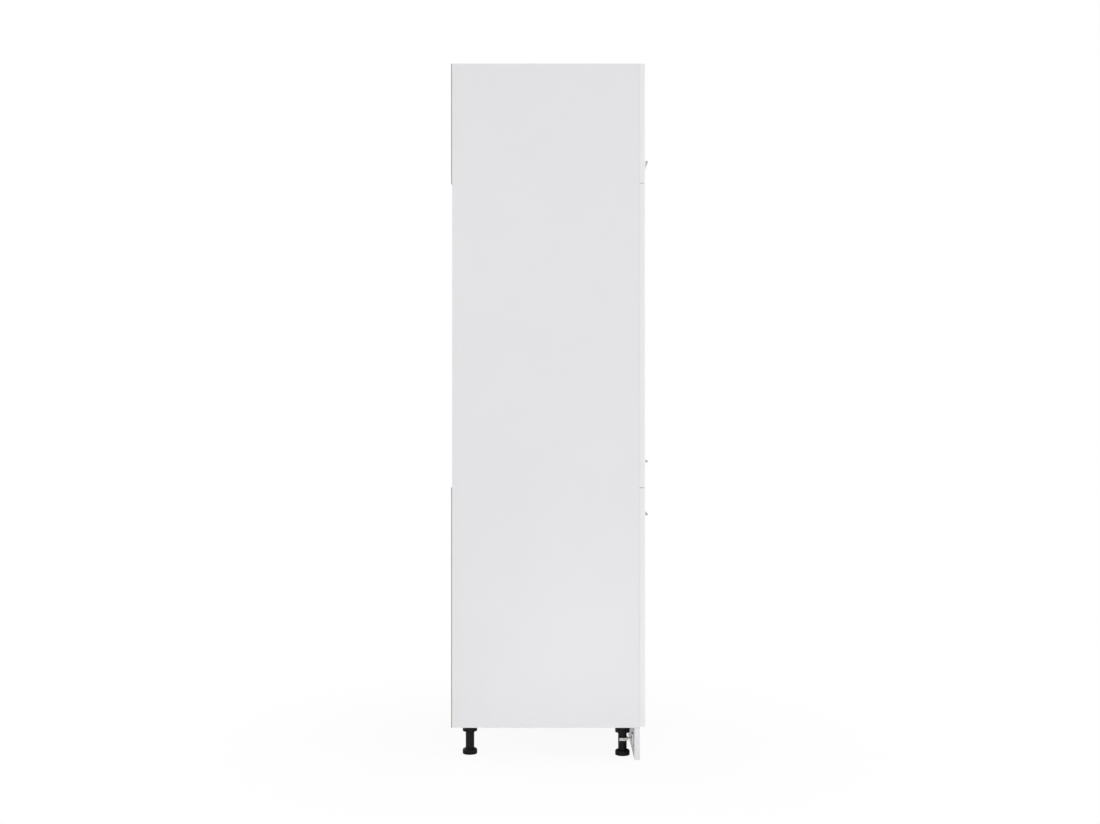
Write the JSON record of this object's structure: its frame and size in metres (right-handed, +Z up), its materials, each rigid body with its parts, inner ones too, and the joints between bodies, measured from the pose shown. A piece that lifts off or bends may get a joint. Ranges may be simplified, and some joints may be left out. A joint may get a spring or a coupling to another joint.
{
  "type": "kitchen cabinet",
  "caption": "Tall white kitchen housing cabinet with stacked side-hinged doors, an open-backed appliance niche, adjustable legs and a clip-on plinth.",
  "frame": {"origin": "on the floor, under the middle of the overall width and depth", "axes": "+Z up, doors face -Y, +X to the right of someone facing the doors"},
  "size_m": [0.6, 0.5904, 2.067],
  "materials": {
    "white_board": "white melamine-faced particle board",
    "white_front": "white foil-wrapped front",
    "hardboard": "raw hardboard, white inside",
    "satin_metal": "satin nickel",
    "plated_steel": "nickel-plated pressed steel",
    "zinc_fastener": "zinc-plated fasteners",
    "beech": "fluted beech",
    "black_plastic": "moulded black plastic",
    "natural_plastic": "moulded natural plastic",
    "clear_buffer": "clear soft buffer"
  },
  "bodies": {
    "carcass": {"left_side_panel": "white_board", "right_side_panel": "white_board", "bottom_panel": "white_board", "niche_floor": "white_board", "niche_ceiling": "white_board", "top_panel": "white_board", "cam_locks": "zinc_fastener", "cam_bolts": "zinc_fastener", "panel_dowels": "beech", "lower_back_sheet": "hardboard", "upper_back_sheet": "hardboard", "loose_shelf": "white_board", "shelf_pins": "plated_steel", "wall_brackets": "plated_steel", "bracket_screws": "zinc_fastener", "leg_sockets": "black_plastic", "leg_tubes": "black_plastic", "leg_screws": "zinc_fastener", "hinge_plates": "plated_steel", "hinge_plate_screws": "zinc_fastener", "hinge_arms": "plated_steel", "hinge_arm_screws": "zinc_fastener", "hinge_arm_pins": "plated_steel"},
    "lower_door": {"lower_door_panel": "white_front", "lower_door_handle": "satin_metal", "lower_door_handle_screws": "zinc_fastener", "lower_door_hinge_cups": "plated_steel", "lower_door_cup_pins": "plated_steel", "lower_door_cup_screws": "zinc_fastener", "lower_door_buffers": "clear_buffer"},
    "lower_door_links": {"lower_door_hinge_links": "plated_steel"},
    "middle_door": {"middle_door_panel": "white_front", "middle_door_handle": "satin_metal", "middle_door_handle_screws": "zinc_fastener", "middle_door_hinge_cups": "plated_steel", "middle_door_cup_pins": "plated_steel", "middle_door_cup_screws": "zinc_fastener", "middle_door_buffers": "clear_buffer"},
    "middle_door_links": {"middle_door_hinge_links": "plated_steel"},
    "upper_door": {"upper_door_panel": "white_front", "upper_door_handle": "satin_metal", "upper_door_handle_screws": "zinc_fastener", "upper_door_hinge_cups": "plated_steel", "upper_door_cup_pins": "plated_steel", "upper_door_cup_screws": "zinc_fastener", "upper_door_buffers": "clear_buffer"},
    "upper_door_links": {"upper_door_hinge_links": "plated_steel"},
    "foot_front_left": {"foot_front_left": "black_plastic", "foot_front_left_stem": "black_plastic"},
    "foot_front_right": {"foot_front_right": "black_plastic", "foot_front_right_stem": "black_plastic"},
    "foot_rear_left": {"foot_rear_left": "black_plastic", "foot_rear_left_stem": "black_plastic"},
    "foot_rear_right": {"foot_rear_right": "black_plastic", "foot_rear_right_stem": "black_plastic"},
    "plinth": {"plinth_board": "white_board", "plinth_clip_plates": "natural_plastic", "plinth_clips": "natural_plastic", "plinth_clip_screws": "zinc_fastener"}
  },
  "joints": [
    {"name": "lower_door_links_swing", "type": "hinge", "parent": "carcass", "child": "lower_door_links", "pos_m": [0.2624, -0.2614, 0.45407], "axis": [0, 0, 1], "range_deg": [-33, 0]},
    {"name": "lower_door_swing", "type": "hinge", "parent": "lower_door_links", "child": "lower_door", "pos_m": [0.2885, -0.27095, 0.45407], "axis": [0, 0, 1], "range_deg": [0, 133]},
    {"name": "middle_door_links_swing", "type": "hinge", "parent": "carcass", "child": "middle_door_links", "pos_m": [0.2624, -0.2614, 1.26073], "axis": [0, 0, 1], "range_deg": [-33, 0]},
    {"name": "middle_door_swing", "type": "hinge", "parent": "middle_door_links", "child": "middle_door", "pos_m": [0.2885, -0.27095, 1.26073], "axis": [0, 0, 1], "range_deg": [0, 133]},
    {"name": "upper_door_links_swing", "type": "hinge", "parent": "carcass", "child": "upper_door_links", "pos_m": [0.2624, -0.2614, 1.89016], "axis": [0, 0, 1], "range_deg": [-33, 0]},
    {"name": "upper_door_swing", "type": "hinge", "parent": "upper_door_links", "child": "upper_door", "pos_m": [0.2885, -0.27095, 1.89016], "axis": [0, 0, 1], "range_deg": [0, 133]},
    {"name": "foot_front_left_height", "type": "slide", "parent": "carcass", "child": "foot_front_left", "axis": [0, 0, 1], "range_m": [-0.02, 0]},
    {"name": "foot_front_right_height", "type": "slide", "parent": "carcass", "child": "foot_front_right", "axis": [0, 0, 1], "range_m": [-0.02, 0]},
    {"name": "foot_rear_left_height", "type": "slide", "parent": "carcass", "child": "foot_rear_left", "axis": [0, 0, 1], "range_m": [-0.02, 0]},
    {"name": "foot_rear_right_height", "type": "slide", "parent": "carcass", "child": "foot_rear_right", "axis": [0, 0, 1], "range_m": [-0.02, 0]},
    {"name": "plinth_pull", "type": "slide", "parent": "carcass", "child": "plinth", "axis": [0, -1, 0], "range_m": [0, 0.12]}
  ],
  "couplings": [
    {"joint": "lower_door_links_swing", "follows": "lower_door_swing", "ratio": -0.24812},
    {"joint": "middle_door_links_swing", "follows": "middle_door_swing", "ratio": -0.24812},
    {"joint": "upper_door_links_swing", "follows": "upper_door_swing", "ratio": -0.24812}
  ]
}
